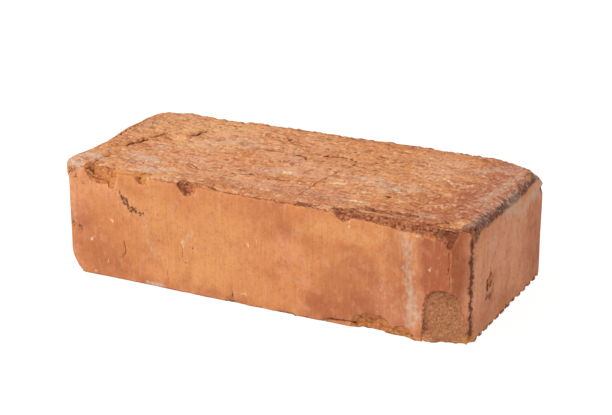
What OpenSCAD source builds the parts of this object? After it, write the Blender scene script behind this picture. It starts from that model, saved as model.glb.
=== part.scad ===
// Solid clay brick, pushed through a die as a column and cut to height with a wire.
// It lies on its lower bed at Z = 0. X runs along the brick and the front face looks along -Y.
// The wire came in over the right end and tore out over the left one.

/* [Brick] */
// Length of the body between its two end faces
brick_length = 250; // [220:1:290]
// Width from the front face to the back face
brick_width = 118; // [100:1:140]
// Height between the two wire-cut beds
brick_height = 67; // [58:1:80]

/* [Corners of the die section] */
// Run of the front right bevel along the front face
bevel_run = 10; // [7:0.5:13]
// Fall of the front right bevel along the end face
bevel_fall = 7; // [5:0.5:9]
// Width of the torn groove between that bevel and the end face
groove_width = 2.4; // [1.2:0.2:3.6]
// Depth of the torn groove
groove_depth = 1.6; // [0.8:0.1:2.2]
// Run of the small front left bevel along the front face
small_bevel_run = 5; // [3:0.5:8]
// Fall of the small front left bevel along the end face
small_bevel_fall = 2; // [1:0.25:4]
// Radius of the right corner at the back
back_right_radius = 2.5; // [2:0.5:8]
// Radius of the left corner at the back
back_left_radius = 5; // [3:0.5:8]

/* [Arrises] */
// Radius of the upper right arris, dragged round by the wire
entry_radius = 6; // [3:0.5:8]
// Radius of the upper front arris
front_radius = 2; // [1:0.25:3]
// Radius of the upper back arris
back_radius = 1.5; // [1:0.25:4]
// Radius of the arrises round the lower bed
bed_radius = 0.75; // [0.5:0.25:2.5]

/* [Torn lip on the left end] */
// Furthest reach of the lip past the left end face
lip_reach = 3; // [1.5:0.25:5]
// Height of the lip where it leaves the end face
lip_depth = 11; // [6:0.5:16]
// Thickness of the lip at its edge
lip_edge = 3; // [1.5:0.25:4.5]

/* [Knocked corners] */
// Height of the knock on the front left corner, up from the lower bed
front_left_rise = 17; // [12:1:30]
// Reach of that knock along the lower bed
front_left_reach = 9; // [6:1:18]
// Fall of the knock on the back right corner, down from the upper bed
back_right_fall = 13; // [6:1:18]
// Reach of that knock along the upper bed
back_right_reach = 24; // [12:1:30]
// Fall of the knock on the back left corner, down from the upper bed
back_left_fall = 12; // [6:0.5:16]
// Reach of that knock along the upper bed
back_left_reach = 18; // [12:1:24]
// Height of the knock below the back right corner, up from the lower bed
back_foot_rise = 6; // [4:1:12]
// Reach of that knock along the lower bed
back_foot_reach = 5; // [4:1:10]

/* [Chips along the front] */
// Length of the longest chip on the front face
chip_length = 26; // [18:1:34]
// Bite of the deepest chip into the front face
chip_bite = 4; // [2.5:0.25:5.5]
// Length of the worn stretch on the right of the upper front arris
wear_length = 84; // [60:1:110]
// Bite of the worn stretch
wear_bite = 2.8; // [1.4:0.2:3.8]
// Lean of the worn stretch from the front face towards the upper bed
wear_lean = 55; // [35:1:65]

/* [Spalled foot of the bevelled corner] */
// Height of the spall above the lower bed
spall_height = 32; // [24:1:42]
// Radius of the spall's round top
spall_radius = 10; // [7:0.5:12]
// Width of the spall at the lower bed
spall_width = 28; // [24:1:32]
// Depth of the spall at the lower bed
spall_depth = 5; // [3.5:0.25:6]

/* [Torn teeth under the right end] */
// Spacing of the teeth along the lower right arris
tooth_pitch = 8.5; // [7.5:0.5:12]
// Length of the gap torn between two teeth
tooth_gap = 5; // [4:0.5:7]
// Depth of that gap
tooth_bite = 1.5; // [0.6:0.1:2]

/* [Hidden] */
$fn = 96;

// How far a cutter runs past the surface it cuts
overrun = 5;
clay_colour = [0.79, 0.47, 0.30];

overall_length = brick_length + lip_reach;
right_end = overall_length / 2;
left_end = -right_end;
left_face = left_end + lip_reach;
front_face = -brick_width / 2;
back_face = -front_face;

// Where the bevel's two edges stand in plan, and its turn from the front face
bevel_start = [right_end - bevel_run, front_face];
bevel_stop = [right_end, front_face + bevel_fall];
bevel_turn = atan2(bevel_fall, bevel_run);

// Outline of the lip from front to back: place along the left end, and reach
lip_shares = [
    [0.00, 0.45], [0.08, 0.90], [0.16, 0.75], [0.26, 0.40], [0.36, 0.20], [0.45, 0.50],
    [0.52, 0.95], [0.60, 1.00], [0.70, 0.60], [0.78, 0.95], [0.87, 0.90], [0.94, 0.60]
];

// Chips on the upper front arris: place along the front, length and bite
upper_chip_shares = [
    [0.09, 0.92, 0.50],
    [0.20, 0.46, 0.45],
    [0.32, 0.54, 1.00],
    [0.71, 0.48, 0.60],
    [0.95, 0.66, 0.85]
];

// Chips on the lower front arris, in the same order
lower_chip_shares = [
    [0.43, 0.35, 0.30],
    [0.57, 0.50, 0.25],
    [0.78, 0.88, 0.50],
    [0.85, 0.70, 0.30]
];

// Middle of the worn stretch along the front
wear_place_share = 0.81;

// The spall's place along the front, its depth at the top, its turn from the front face towards the
// bevel, and how much of its foot lies left of its middle
spall_place_share = 0.944;
spall_top_share = 0.35;
spall_turn_share = 0.35;
spall_left_share = 0.40;

// How far a knock's ball lies in from the corner, against the longer of its two reaches
knock_inset_share = 1.5;

// Chip at the foot of the groove, against the longest and deepest chip
groove_chip_share = 0.50;

// Radius of the ball that bites a chip of this length and depth out of a flat face
function bite_radius(length, bite) = (length * length / 4 + bite * bite) / (2 * bite);

function along_front(share) = left_face + share * brick_length;

// What a round corner takes off a square one. The corner is at the origin and the body lies at +X +Y.
module corner_trim(radius) {
    difference() {
        translate([-overrun, -overrun]) square(radius + overrun);
        translate([radius, radius]) circle(radius);
    }
}

// Plan of the column, with the torn outline of the left end and a notch at the bevel's far edge
module die_section() {
    lip_run = brick_width - small_bevel_fall;
    lip_outline = [
        for (point = lip_shares)
            [left_face - lip_reach * point[1], back_face - (1 - point[0]) * lip_run]
    ];
    groove_middle = bevel_stop - [groove_depth, groove_width / 2];
    groove_foot = bevel_stop - groove_width * [cos(bevel_turn), sin(bevel_turn)];
    difference() {
        polygon(concat(
            [[left_face + small_bevel_run, front_face], bevel_start],
            [groove_foot, groove_middle, bevel_stop],
            [[right_end, back_face], [left_face, back_face]],
            [for (i = [len(lip_outline) - 1 : -1 : 0]) lip_outline[i]]
        ));
        translate([right_end, back_face]) rotate(180) corner_trim(back_right_radius);
        translate([left_end, back_face]) rotate(-90) corner_trim(back_left_radius + lip_reach);
    }
}

// Clears the left end below the lip, back to the end face
module lip_undercut() {
    rotate([90, 0, 0])
        linear_extrude(brick_width + 2 * overrun, center = true)
            polygon([
                [left_end - overrun, -overrun],
                [left_face, -overrun],
                [left_face, brick_height - lip_depth],
                [left_end, brick_height - lip_edge],
                [left_end - overrun, brick_height - lip_edge]
            ]);
}

// Trims a straight arris of the given run. It lies along X at the origin, and the body at +Y -Z.
module arris_trim(radius, run) {
    rotate([0, 0, 90])
        rotate([90, 0, 0])
            linear_extrude(run, center = true)
                mirror([0, 1]) corner_trim(radius);
}

module upper_arris_trims() {
    long_run = overall_length + 2 * overrun;
    short_run = brick_width + 2 * overrun;
    translate([0, front_face, brick_height]) arris_trim(front_radius, long_run);
    translate([0, back_face, brick_height]) rotate(180) arris_trim(back_radius, long_run);
    translate([right_end, 0, brick_height]) rotate(90) arris_trim(entry_radius, short_run);
}

module lower_arris_trims() {
    long_run = overall_length + 2 * overrun;
    short_run = brick_width + 2 * overrun;
    mirror([0, 0, 1]) {
        translate([0, front_face, 0]) arris_trim(bed_radius, long_run);
        translate([0, back_face, 0]) rotate(180) arris_trim(bed_radius, long_run);
        translate([right_end, 0, 0]) rotate(90) arris_trim(bed_radius, short_run);
        translate([left_face, 0, 0]) rotate(-90) arris_trim(bed_radius, short_run);
    }
}

// Wears a corner round with a large ball. The corner is at the origin, and the body at +X +Y -Z.
// The wear starts this far along both arrises of the bed and this far down the upright one.
module corner_knock(reach, fall) {
    inset = knock_inset_share * max(reach, fall);
    drop = (fall * fall + 2 * inset * reach - reach * reach) / (2 * fall);
    radius = sqrt(2 * inset * inset + (drop - fall) * (drop - fall));
    difference() {
        translate([-overrun, -overrun, -drop])
            cube([inset + overrun, inset + overrun, drop + overrun]);
        translate([inset, inset, -drop]) sphere(radius);
    }
}

module corner_knocks() {
    mirror([0, 0, 1]) {
        translate([left_face, front_face, 0]) corner_knock(front_left_reach, front_left_rise);
        translate([right_end, back_face, 0]) rotate(180) corner_knock(back_foot_reach, back_foot_rise);
    }
    translate([0, 0, brick_height]) {
        translate([right_end, back_face, 0]) rotate(180) corner_knock(back_right_reach, back_right_fall);
        translate([left_face, back_face, 0]) rotate(-90) corner_knock(back_left_reach, back_left_fall);
    }
}

// Ball that bites a round chip out of a face. The face is at Y = 0, and the body at +Y.
module chip(length, bite) {
    radius = bite_radius(length, bite);
    translate([0, bite - radius, 0]) sphere(radius);
}

module chip_row(shares, height) {
    for (one = shares)
        translate([along_front(one[0]), front_face, height])
            chip(chip_length * one[1], chip_bite * one[2]);
}

// Chip at the foot of the torn groove, straight out from the corner
module groove_chip() {
    translate([bevel_stop[0], bevel_stop[1], 0])
        rotate((bevel_turn + 90) / 2)
            chip(groove_chip_share * chip_length, groove_chip_share * chip_bite);
}

// Long shallow wear that leans over the upper front arris
module worn_stretch() {
    translate([along_front(wear_place_share), front_face, brick_height])
        rotate([-wear_lean, 0, 0]) chip(wear_length, wear_bite);
}

// Outline of the spall: a round top over a foot that spreads towards the bevel
module spall_outline() {
    shoulder = spall_height - spall_radius;
    foot_left = -spall_left_share * spall_width;
    foot_right = (1 - spall_left_share) * spall_width;
    translate([0, shoulder]) circle(spall_radius);
    polygon([
        [foot_left, -overrun],
        [foot_right, -overrun],
        [foot_right, 0],
        [spall_radius, shoulder],
        [-spall_radius, shoulder],
        [foot_left, 0]
    ]);
}

// Flake lost from the foot of the bevelled corner. Its flat floor leans in towards the lower bed.
module spall() {
    lean = atan2((1 - spall_top_share) * spall_depth, spall_height);
    translate([along_front(spall_place_share), front_face, 0])
        rotate(spall_turn_share * bevel_turn)
            translate([0, spall_depth, 0])
                rotate([90 + lean, 0, 0])
                    linear_extrude(spall_width) spall_outline();
}

// Gaps torn along the lower right arris, between the bevel and the back corner
module torn_teeth() {
    run = brick_width - bevel_fall - back_right_radius - tooth_gap;
    count = floor(run / tooth_pitch);
    for (i = [0 : count])
        translate([right_end, bevel_stop[1] + tooth_gap / 2 + i * tooth_pitch, 0])
            rotate(90) rotate([45, 0, 0]) chip(tooth_gap, tooth_bite);
}

module brick() {
    color(clay_colour)
        difference() {
            linear_extrude(brick_height) die_section();
            lip_undercut();
            upper_arris_trims();
            lower_arris_trims();
            corner_knocks();
            chip_row(upper_chip_shares, brick_height);
            chip_row(lower_chip_shares, 0);
            groove_chip();
            worn_stretch();
            spall();
            torn_teeth();
        }
}

brick();
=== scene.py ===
"""A solid fired clay brick: die-run sides, torn wire-cut beds and worn arrises, over its CAD frame."""

import logging
import math
from dataclasses import dataclass, field
from enum import Enum
from typing import TypeVar

import bmesh
import bpy
import numpy as np
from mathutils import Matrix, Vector


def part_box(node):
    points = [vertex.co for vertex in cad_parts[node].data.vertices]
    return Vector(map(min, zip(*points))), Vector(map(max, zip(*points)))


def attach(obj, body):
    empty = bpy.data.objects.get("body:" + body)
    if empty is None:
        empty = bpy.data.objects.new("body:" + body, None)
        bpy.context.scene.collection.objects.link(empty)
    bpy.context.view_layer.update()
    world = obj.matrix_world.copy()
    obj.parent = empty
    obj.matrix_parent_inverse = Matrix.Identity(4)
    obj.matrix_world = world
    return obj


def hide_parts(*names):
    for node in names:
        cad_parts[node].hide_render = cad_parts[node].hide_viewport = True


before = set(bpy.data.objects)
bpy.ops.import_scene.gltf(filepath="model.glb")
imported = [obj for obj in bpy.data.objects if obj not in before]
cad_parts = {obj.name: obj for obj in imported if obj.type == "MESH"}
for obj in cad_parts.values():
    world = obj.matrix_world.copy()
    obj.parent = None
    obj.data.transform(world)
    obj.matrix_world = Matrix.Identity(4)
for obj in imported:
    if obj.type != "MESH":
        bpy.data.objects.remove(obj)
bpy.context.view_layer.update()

LOG = logging.getLogger("brick")
MM = 0.001

Pair = tuple[float, float]
Triple = tuple[float, float, float]
Path = tuple[Pair, ...]
Socket = bpy.types.NodeSocket
Coat = tuple[Socket, Socket]
Mark = TypeVar("Mark")

# The length in millimetres that stands for a spot, and the size, scatter and strength of the noise.
SPOT = 0.01
SLOPE_COUNT = 4096
CELL_KEYS = np.array((73856093, 19349663, 83492791))
KEY_FOLD = 13
OCTAVE_SHIFT = 17.3
NOISE_GAIN = 1.6


def linear(tone: str) -> tuple[float, float, float, float]:
    """Linear colour, with full alpha, of an sRGB hex tone."""
    parts = (int(tone[at:at + 2], 16) / 255 for at in (1, 3, 5))
    return (*(c / 12.92 if c <= 0.04045 else ((c + 0.055) / 1.055) ** 2.4 for c in parts), 1.0)


def ramp(values: np.ndarray, start: float, end: float) -> np.ndarray:
    """Smooth step of values, from 0 at its start to 1 at its end, which may be the lower of the two."""
    part = np.clip((values - start) / (end - start), 0.0, 1.0)
    return part * part * (3.0 - 2.0 * part)


def to_path(places: np.ndarray, path: Path) -> tuple[np.ndarray, np.ndarray, np.ndarray]:
    """Measures places on a face against a path drawn on it.

    Args:
        places: Two coordinates for each place, in millimetres.
        path: Corners of the path in the same coordinates. One corner stands for a spot.

    Returns:
        Signed distance, plain distance, and share of the way along the path, for each place.
    """
    corners = np.asarray(path if len(path) > 1 else (path[0], (path[0][0] + SPOT, path[0][1])))
    lengths = np.linalg.norm(np.diff(corners, axis=0), axis=1)
    near = np.full(len(places), np.inf)
    side = np.full(len(places), np.inf)
    share = np.zeros(len(places))
    run = 0.0
    for start, end, length in zip(corners[:-1], corners[1:], lengths):
        step = (end - start) / length
        offset = places - start
        along = np.clip(offset @ step, 0.0, length)
        gap = np.linalg.norm(offset - along[:, None] * step, axis=1)
        turn = np.where(step[0] * offset[:, 1] > step[1] * offset[:, 0], 1.0, -1.0)
        closer = gap < near
        near = np.where(closer, gap, near)
        side = np.where(closer, gap * turn, side)
        share = np.where(closer, (run + along) / lengths.sum(), share)
        run += length
    return side, near, share


def within(places: np.ndarray, outline: Path) -> np.ndarray:
    """Measures places on a face against a closed outline drawn on it.

    Args:
        places: Two coordinates for each place, in millimetres.
        outline: Corners of the outline in the same coordinates.

    Returns:
        Distance to the outline for each place, positive inside.
    """
    near = to_path(places, outline + outline[:1])[1]
    inside = np.zeros(len(places), bool)
    for (ax, ay), (bx, by) in zip(outline, outline[1:] + outline[:1]):
        spans = (ay > places[:, 1]) != (by > places[:, 1])
        lean = (bx - ax) / (by - ay if by != ay else 1.0)
        inside ^= spans & (places[:, 0] < ax + (places[:, 1] - ay) * lean)
    return np.where(inside, near, -near)


def each(kind: type[Mark], *shared: Enum, rows: tuple) -> tuple[Mark, ...]:
    """One mark of a kind for each row of its values, after the stain or face that all of them share."""
    return tuple(kind(*shared, *row) for row in rows)


@dataclass(frozen=True)
class Lattice:
    """Smooth random values in space, the same on every run.

    The pitch is the millimetres over which they change along each axis, and each further octave halves it.
    The height is about the largest value.
    """

    seed: int
    pitch: Triple
    octaves: int = 1
    height: float = 1.0

    def values(self, points: np.ndarray) -> np.ndarray:
        """Gradient noise, from about minus the height to the height.

        Args:
            points: Places in millimetres.

        Returns:
            One value for each point.
        """
        slopes = np.random.default_rng(self.seed).normal(size=(SLOPE_COUNT, 3))
        slopes /= np.linalg.norm(slopes, axis=1)[:, None]
        total = np.zeros(len(points))
        for octave in range(self.octaves):
            cell = points * 2.0 ** octave / np.asarray(self.pitch) + OCTAVE_SHIFT * octave
            base = np.floor(cell).astype(np.int64)
            part = cell - base
            blend = part ** 3 * (part * (part * 6.0 - 15.0) + 10.0)
            for corner in np.ndindex(2, 2, 2):
                weight = np.where(corner, blend, 1.0 - blend).prod(axis=1)
                key = (base + corner) @ CELL_KEYS
                slope = slopes[np.bitwise_and(key ^ (key >> KEY_FOLD), SLOPE_COUNT - 1)]
                total += weight * ((part - corner) * slope).sum(axis=1) * NOISE_GAIN * 0.5 ** octave
        return self.height * total


@dataclass(frozen=True)
class Hollows:
    """Hollows where random values pass a level, from none at its low end to their depth in millimetres."""

    source: Lattice
    low: float
    high: float
    depth: float

    def values(self, points: np.ndarray) -> np.ndarray:
        """Millimetres outward at each point, so negative in a hollow."""
        return -self.depth * ramp(self.source.values(points), self.low, self.high)


class Face(Enum):
    """A face that marks are placed on, with the two axes that they are drawn along."""

    FRONT = (0, 2)
    TOP = (0, 1)
    END = (1, 2)


class Stain(Enum):
    """What a patch is, named for the vertex mask it is painted into."""

    BLOOM = "bloom"
    SOOT = "soot"
    FIRE = "fire"
    PALE = "pale"
    ROSE = "rose"
    LIME = "lime"
    OCHRE = "ochre"
    DARK = "dark"
    SAND = "sand"
    GRIME = "grime"
    RUB = "rub"


@dataclass(frozen=True)
class Crack:
    """An open tear or crack, drawn on a face in millimetres."""

    face: Face
    path: Path
    half: float
    depth: float = 0.5


@dataclass(frozen=True)
class Fold:
    """A step in the upper bed, in millimetres. The clay to the left of its path stands higher."""

    path: Path
    rise: float
    reach: float


@dataclass(frozen=True)
class Patch:
    """A stain or a tone of clay round a spot or along a path on a face, in millimetres."""

    stain: Stain
    face: Face
    path: Path
    reach: float
    strength: float = 1.0
    uneven: float = 0.6


@dataclass(frozen=True)
class Dent:
    """A shallow loss with a drawn outline on a face, in millimetres."""

    stain: Stain
    face: Face
    outline: Path
    depth: float
    slope: float = 1.5


@dataclass(frozen=True)
class Lift:
    """A smooth rise of the upper bed in plan, in millimetres.

    Each pair runs from the place that has none of it to the place that has it all. What the pairs give is
    multiplied, and a missing pair limits nothing.
    """

    height: float
    along_x: Pair
    along_y: Pair | None = None
    fade_x: Pair | None = None


CRACKS = (
    # The upper bed: a hairline and its healed end, tears along the drag, folds at the lip and two scars.
    *each(Crack, Face.TOP, rows=(
        (((20.1, -47), (20.3, -22.2), (22, -8.5), (25, 7), (27.5, 17.3)), 0.32, 0.2),
        (((26.4, 18), (19.3, 21.7), (14, 21), (8.1, 19.1)), 0.55, 0.3),
        (((9, 19.2), (2.4, 18.3)), 0.7, 0.5),
        (((-31.5, -30.4), (-24.7, -29.2), (-15.5, -28.2)), 0.4, 0.35),
        (((-9, -28.7), (-1, -28.4), (6.5, -26.4)), 0.45, 0.35),
        (((8, -26.8), (19.6, -22.6)), 0.25, 0.15),
        (((-32.5, 14.6), (-26, 15.4), (-20, 14.9)), 0.4, 0.35),
        (((-48.8, 10.4), (-44.8, 12.6)), 0.35),
        (((-34, -16), (-29, -13)), 0.35),
        (((43.5, -36.8), (52.8, -35.4)), 0.4, 0.35),
        (((60.5, -25.8), (68.4, -26)), 0.5, 0.6),
        (((64, 16.8), (69, 17.8)), 0.4),
        (((32.5, 29.2), (38.5, 28.2)), 0.35),
        (((-75, -30), (-66.8, -29), (-59.5, -28), (-49, -33.4)), 0.2, 0.7),
        (((87.3, -27.1), (92.2, -8.9)), 0.34, 0.3),
        (((99, -54.6), (105, -51.4), (112.2, -46.9)), 0.35, 0.5),
        (((-111.8, -16.2), (-109.6, -11), (-107.6, -6), (-104.6, 2.6)), 0.5, 1.6),
        (((-104.6, 2.6), (-100, 15.1)), 0.4, 0.35),
        (((-84.6, 15), (-82.5, 23.9), (-80.6, 31)), 0.45, 1.2),
        (((-77.5, 49.5), (-70.2, 48.9)), 0.6, 0.9),
        (((-109.1, -55.1), (-111.3, -44.4), (-109.9, -36.7), (-109.4, -30)), 0.15, 0.6),
        (((-95.2, -34.6), (-84, -38), (-71.1, -43.4)), 0.3),
        (((-14.6, -0.4), (-12, 3.8)), 0.8, 0.8),
        (((-13.8, 11.5), (-9.5, 14.4), (-4.6, 12.1), (-1.4, 7.7)), 0.55, 0.5),
        (((-7.4, -3.4), (-3.2, -4.2)), 0.6, 0.3),
        (((-35, 36), (-31, 40), (-26, 38), (-28, 34), (-34, 33.5)), 0.5, 0.6),
    )),
    # The front: drying cracks, splits along its lower edge, and dark lines of painted shade along the crease
    # of the bevel and the crease of the small bevel on the left.
    *each(Crack, Face.FRONT, rows=(
        (((-86.3, 26.5), (-86, 17.9), (-89.4, 12.2)), 0.22, 0.6),
        (((-57.4, 13.1), (-58.1, 1.2)), 0.06),
        (((-16.1, 11.7), (-15.2, 1)), 0.2, 0.8),
        (((-47.5, 31.5), (-47.8, 25), (-47.3, 19.3), (-43, 18.2)), 0.06, 0.3),
        (((-69.1, 33.2), (-66, 33)), 0.35),
        (((-64, 32.4), (-60.1, 31.3)), 0.2),
        (((110.5, 41.4), (115.8, 41.6)), 0.15),
        (((40.5, 1.4), (52, 3.4), (63.5, 3)), 0.5, 1),
        (((-117.1, 62.7), (-117.9, 35.8)), -0.1, 0.3),
        (((-111.6, 63.6), (-106.2, 60.8), (-101.1, 59.8), (-98, 60.4)), 0.25, 0.6),
        (((-98, 60.4), (-96, 56.6), (-95.2, 54.6)), 0.35, 0.6),
        (((115.4, 56), (115.9, 32)), 0.22, 0.3),
    )),
    # The right end: a forked crack, and a nick in the far edge.
    *each(Crack, Face.END, rows=(
        (((-29.4, 31.4), (-28.8, 27.4), (-26.9, 22.4)), 1.3, 0.5),
        (((-25, 37.5), (-24.9, 33)), 0.2, 0.2),
        (((-18.6, 26.4), (-20.4, 21.6), (-22.2, 18.4)), 0.45, 0.3),
        (((52, 53.6), (59, 52)), 1, 1.6),
    )),
)

FOLDS = each(Fold, rows=(
    # Slabs of dragged clay that end in a step, higher towards the lip or the back.
    (((-121.6, -27.4), (-115.1, -21), (-110.7, -14.7), (-104.8, 2), (-100, 15.1), (-95, 30)), 1.2, 9),
    (((-86, 8), (-84, 16.7), (-79.8, 33.9), (-73.6, 48.1)), 1, 10),
    (((-108.5, -57), (-111.3, -44.4), (-109.1, -27.2)), 0.7, 7),
    (((-76, -30), (-59.5, -28), (-48, -34.5)), 0.8, 6),
    (((-32, -30.6), (-15, -28.2)), 0.5, 5),
    (((-9, -28.7), (7, -26.4)), 0.5, 5),
    (((2, 18.8), (10, 19.2), (19.3, 22.5), (27, 19.5)), 0.6, 6),
    (((60, -27.4), (70, -25.6)), 0.6, 5),
    (((96, -54.6), (104, -52), (113, -46.6)), 0.8, 4),
))

DENTS = (
    *each(Dent, Stain.DARK, Face.FRONT, rows=(
        # Skin lost between the front, the bevel and the bed, coming to a point on the crease.
        (((107, 70), (107.6, 62.4), (112.2, 60.2), (114.8, 57.8), (116.1, 55.8), (117.9, 58.8), (118.6, 62.1),
          (119.2, 65.5), (119.4, 70)), 1.6, 0.9),
        # Two knocks on the upper arris, and the worn stretch beside them.
        (((-50.2, 70), (-49.6, 66), (-47, 62.6), (-43.6, 59.9), (-40.4, 63.4), (-36.5, 67), (-34, 70)),
         1.2, 1.2),
        (((45.5, 70), (47.5, 66), (51, 63.6), (55, 62.2), (58.5, 66), (62, 70)), 0.9, 1.2),
        (((57, 70), (58, 66), (62, 64.8), (70, 63.8), (80, 63.3), (90, 62.6), (100, 62.2), (107, 62.4),
          (109, 63), (110, 70)), 0.7),
    )),
    *each(Dent, Stain.DARK, Face.TOP, rows=(
        # A second row of pits, on the bed.
        (((60, -49), (66, -46), (75, -44.8), (84, -43.4), (92, -44.4), (93, -47.6), (84, -48), (74, -49.8),
          (64, -50.6)), 0.8, 1.0),
    )),
    *each(Dent, Stain.OCHRE, Face.FRONT, rows=(
        # The broad flake near the lip, and the small one beside it.
        (((-113, 70), (-111.8, 64), (-106.2, 61), (-101.1, 60), (-98, 60.6), (-95.8, 56.4), (-92.1, 56.4),
          (-90.4, 63.3), (-91, 70)), 0.7),
        (((-80.6, 70), (-79.4, 66.2), (-76.9, 65.2), (-75, 61.9), (-72.7, 64.3), (-69.3, 61.5), (-67.9, 64),
          (-69.4, 70)), 0.6),
        # The spall on the lower arris, with its tail towards the bevel.
        (((57.5, -2), (59.6, 5), (62, 8), (66, 9.7), (72, 10.2), (77, 10.2), (80.6, 8.4), (83.6, 5.2),
          (88.5, 3.2), (95.5, 1.6), (96, -2)), 0.8),
    )),
    *each(Dent, Stain.OCHRE, Face.END, rows=(
        # Clay lost beside the slit.
        (((-24.8, 33.8), (-28.6, 31), (-28, 27), (-25, 24), (-21, 26.4), (-20.8, 30.6)), 0.5, 1.4),
    )),
)

LIFTS = (
    # Drying bent the back of the bed up on the right of the middle and down on the left.
    Lift(1.1, (-20, 50), (-10, 59), (116, 85)),
    Lift(-0.9, (-45, -90), (-10, 59), (-116, -100)),
    # The wire lifted the lip on the left end, most near the front.
    Lift(0.8, (-112, -122)),
    Lift(0.8, (-112, -122), (-36, -48)),
    Lift(0.5, (-112, -122), (4, 14)),
    # The far right corner stands a little fuller than in the solid.
    Lift(2.4, (111, 123), (22, 48)),
)

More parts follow.
